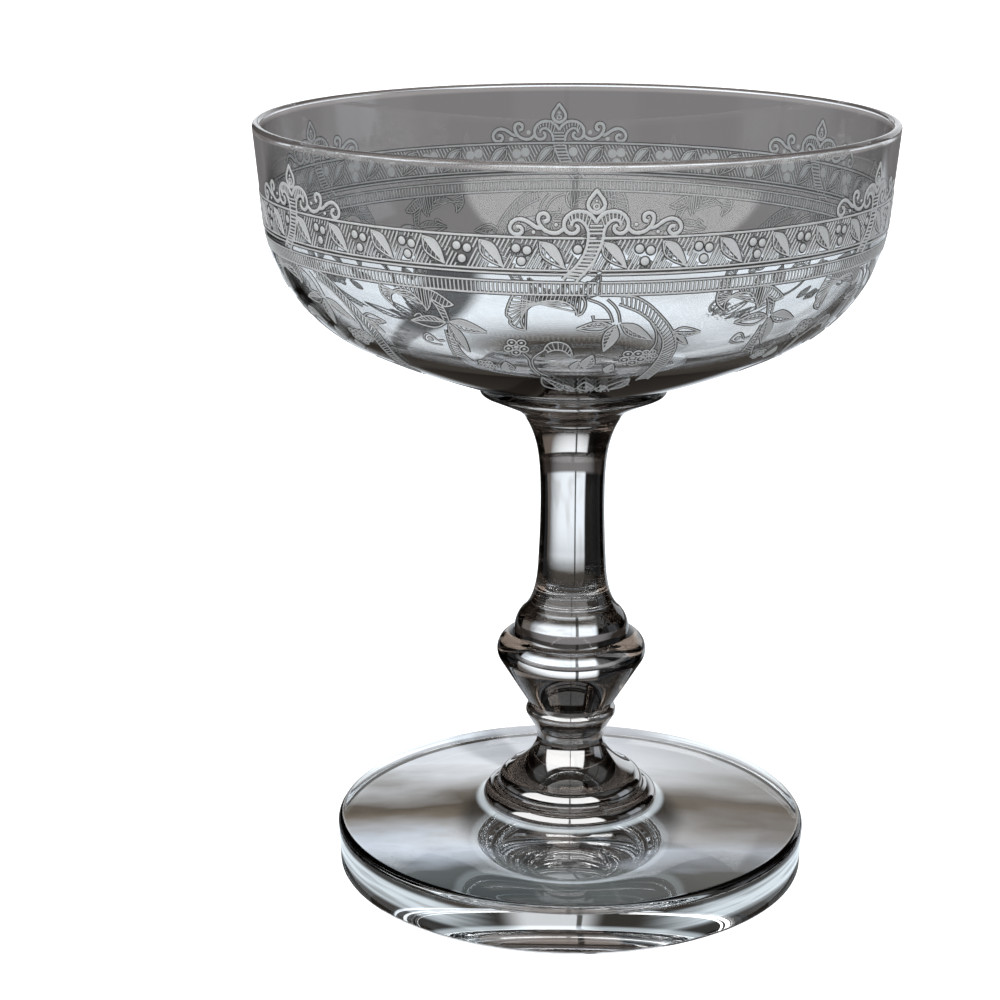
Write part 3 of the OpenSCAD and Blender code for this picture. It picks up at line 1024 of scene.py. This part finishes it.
def table_ring(name, inner, outer, paint):
    """A flat ring or disc just under the glass, seen only through it."""
    count, level = 96, -0.3 * MM
    verts = [(r * MM * px, r * MM * py, level) for r in (inner, outer) if r
             for px, py in circle(0, 0, 1, count)]
    if inner:
        faces = [(i, (i + 1) % count, count + (i + 1) % count, count + i) for i in range(count)]
    else:
        faces = [tuple(range(count))]
    made = mesh_object(name, verts, faces)
    made.data.materials.append(paint)
    made.visible_camera = False
    made.visible_diffuse = False
    made.visible_shadow = False


def table():
    """The table: a disc right under the foot, and a ring of daylight beyond the foot."""
    foot = FOOT_R - FOOT_DRAFT - FOOT_LOW_ROUND
    gap, reach = 2.3, 46
    table_ring("table_under_foot", 0, foot, glowing_paper("table_streaks", streaked))
    table_ring("table_by_foot", foot + gap, reach, glowing_paper("table_daylight", sill_light))


sweep()
table()


def studio_world():
    """A grey room with tall bright windows. Only the direction of a ray decides what it meets."""
    world = bpy.data.worlds.new("studio")
    bpy.context.scene.world = world
    world.use_nodes = True
    nodes, links = world.node_tree.nodes, world.node_tree.links
    nodes.clear()

    def node(kind, **values):
        made = nodes.new(kind)
        for key, value in values.items():
            setattr(made, key, value)
        return made

    def math_node(operation, a, b=None, clamp=False):
        made = node("ShaderNodeMath", operation=operation, use_clamp=clamp)
        for socket, value in zip(made.inputs, (a, b)):
            if value is None:
                continue
            if isinstance(value, (int, float)):
                socket.default_value = value
            else:
                links.new(value, socket)
        return made.outputs[0]

    coord = node("ShaderNodeTexCoord")
    split = node("ShaderNodeSeparateXYZ")
    links.new(coord.outputs["Generated"], split.inputs[0])
    x, y, z = split.outputs
    degrees = 180 / math.pi
    bearing = math_node("MULTIPLY", math_node("ARCTAN2", x, y), degrees)  # 0 along +Y, right positive
    height = math_node("MULTIPLY", math_node("ARCSINE", z), degrees)

    def step(value, low, high):
        """0 below low, 1 above high, smooth between."""
        made = node("ShaderNodeMapRange", interpolation_type="SMOOTHSTEP")
        made.inputs["From Min"].default_value = low
        made.inputs["From Max"].default_value = high
        links.new(value, made.inputs["Value"])
        return made.outputs["Result"]

    def rest_of(share):
        return math_node("SUBTRACT", 1, share)

    def band(value, low, high, soft):
        """1 between low and high, with soft edges."""
        return math_node("MULTIPLY", step(value, low - soft, low + soft),
                         rest_of(step(value, high - soft, high + soft)))

    def blend(share, under, over):
        """A share of one colour over another. Each is a colour or a socket."""
        made = node("ShaderNodeMix", data_type="RGBA")
        links.new(share, made.inputs["Factor"])
        for socket, value in ((made.inputs[6], under), (made.inputs[7], over)):
            if isinstance(value, tuple):
                socket.default_value = (*value, 1)
            else:
                links.new(value, socket)
        return made.outputs[2]

    def level(stops, under):
        """Brightness by height: a smooth change at each (height, softness, colour) stop, upwards."""
        colour = under
        for at, soft, value in stops:
            colour = blend(step(height, at - soft, at + soft), colour, value)
        return colour

    rail_grey, rail_low, rail_high = (0.22, 0.212, 0.216), -10.9, -4.9
    wall = level((
        (-52, 8, (0.035, 0.029, 0.024)),
        (-27, 2, (0.0045, 0.0035, 0.003)),
        (40, 10, (0.035, 0.032, 0.028)),
    ), (0.08, 0.075, 0.07))
    sky = level((
        (-22, 4, (1.0, 1.08, 1.16)),
        (rail_low, 0.5, rail_grey),
        (rail_high, 0.5, (0.05, 0.046, 0.044)),
        (-1.8, 0.5, (1.12, 1.16, 1.2)),
        (19, 6, (0.022, 0.016, 0.012)),
        (40, 3, (0.72, 0.74, 0.76)),
        (60, 4, (0.12, 0.12, 0.12)),
    ), (0.06, 0.052, 0.045))
    clouds = node("ShaderNodeTexNoise")
    drift = node("ShaderNodeMapping")
    drift.inputs["Scale"].default_value = (5, 5, 16)
    links.new(coord.outputs["Generated"], drift.inputs["Vector"])
    links.new(drift.outputs["Vector"], clouds.inputs["Vector"])
    clouds.inputs["Scale"].default_value = 1.0
    clouds.inputs["Detail"].default_value = 1
    outside = math_node("MULTIPLY", step(clouds.outputs["Fac"], 0.45, 0.72), band(height, -26, rail_low, 2))
    sky = blend(math_node("MULTIPLY", outside, 0.28), sky, (0.30, 0.26, 0.21))
    aside = math_node("ABSOLUTE", bearing)
    side_window = math_node("MULTIPLY", band(bearing, 75, 97, 2), band(height, -1, 25, 2))
    wall = blend(side_window, wall, (0.62, 0.66, 0.72))
    dim_wall = math_node("MULTIPLY", step(aside, 100, 120), band(height, -62, -6, 6))
    wall = blend(dim_wall, wall, (0.15, 0.145, 0.14))
    rail = math_node("MULTIPLY", rest_of(step(aside, 45, 60)), band(height, rail_low, rail_high, 0.7))
    lit = blend(rail, wall, rail_grey)
    for facing, share in ((0, 1.0), (180, 0.14), (90, 0.18), (-90, 0.18)):
        around = math_node("MODULO", math_node("ADD", bearing, 540 - facing), 360)
        turn = math_node("SUBTRACT", around, 180)
        if facing == 0:  # the window the camera looks at is wide, with a narrower top
            shut = math_node("MULTIPLY", step(height, 34, 40), rest_of(band(turn, -7, 18, 5)))
            pane = math_node("MULTIPLY", band(turn, -16, 40, 1.5), rest_of(shut))
        else:
            pane = band(turn, -24, 24, 3)
        bar = math_node("MULTIPLY", band(turn, -4.4, -2.6, 0.3), 0.9)
        open_part = math_node("MULTIPLY", pane, rest_of(bar))
        lit = blend(math_node("MULTIPLY", open_part, share), lit, sky)
    behind = math_node("ADD", step(bearing, 131, 136), rest_of(step(bearing, -102, -97)))
    softbox = math_node("MULTIPLY", behind, band(height, 9, 56, 1.5))
    bar = math_node("MULTIPLY", band(math_node("SUBTRACT", 180, aside), -1.5, 1.5, 0.5), 0.85)
    lit = blend(math_node("MULTIPLY", softbox, rest_of(bar)), lit, (2.5, 2.5, 2.5))
    shine = node("ShaderNodeBackground")
    links.new(lit, shine.inputs["Color"])
    shine.inputs["Strength"].default_value = 1.0
    out = node("ShaderNodeOutputWorld")
    links.new(shine.outputs[0], out.inputs["Surface"])


studio_world()


def soft_light(name, place, aim, size, power):
    """A round lamp that lights the frost and never shows in the glass."""
    lamp = bpy.data.lights.new(name, "AREA")
    lamp.shape = "DISK"
    lamp.size = size
    lamp.energy = power
    made = bpy.data.objects.new(name, lamp)
    bpy.context.scene.collection.objects.link(made)
    made.location = place
    made.rotation_mode = "QUATERNION"
    made.rotation_quaternion = (Vector(aim) - Vector(place)).to_track_quat("-Z", "Y")
    made.visible_camera = False
    made.visible_glossy = False
    made.visible_transmission = False


soft_light("top_softbox", (0.25, -0.35, 1.2), (0, 0, 0.03), 1.2, 5)
soft_light("front_softbox", (-0.5, -1.1, 0.7), (0, 0, 0.09), 0.9, 2)

# ---------------------------------------------------------------------- camera

camera = bpy.data.objects.new("camera", bpy.data.cameras.new("camera"))
bpy.context.scene.collection.objects.link(camera)
camera.data.sensor_width = 36
camera.data.lens = 86.4
camera.data.clip_start = 0.01
camera.location = (0, -362.2 * MM, 163.8 * MM)
camera.rotation_euler = (math.radians(90 - 16.02), 0, math.radians(1.8))
bpy.context.scene.camera = camera
bpy.context.scene.view_settings.view_transform = "Standard"
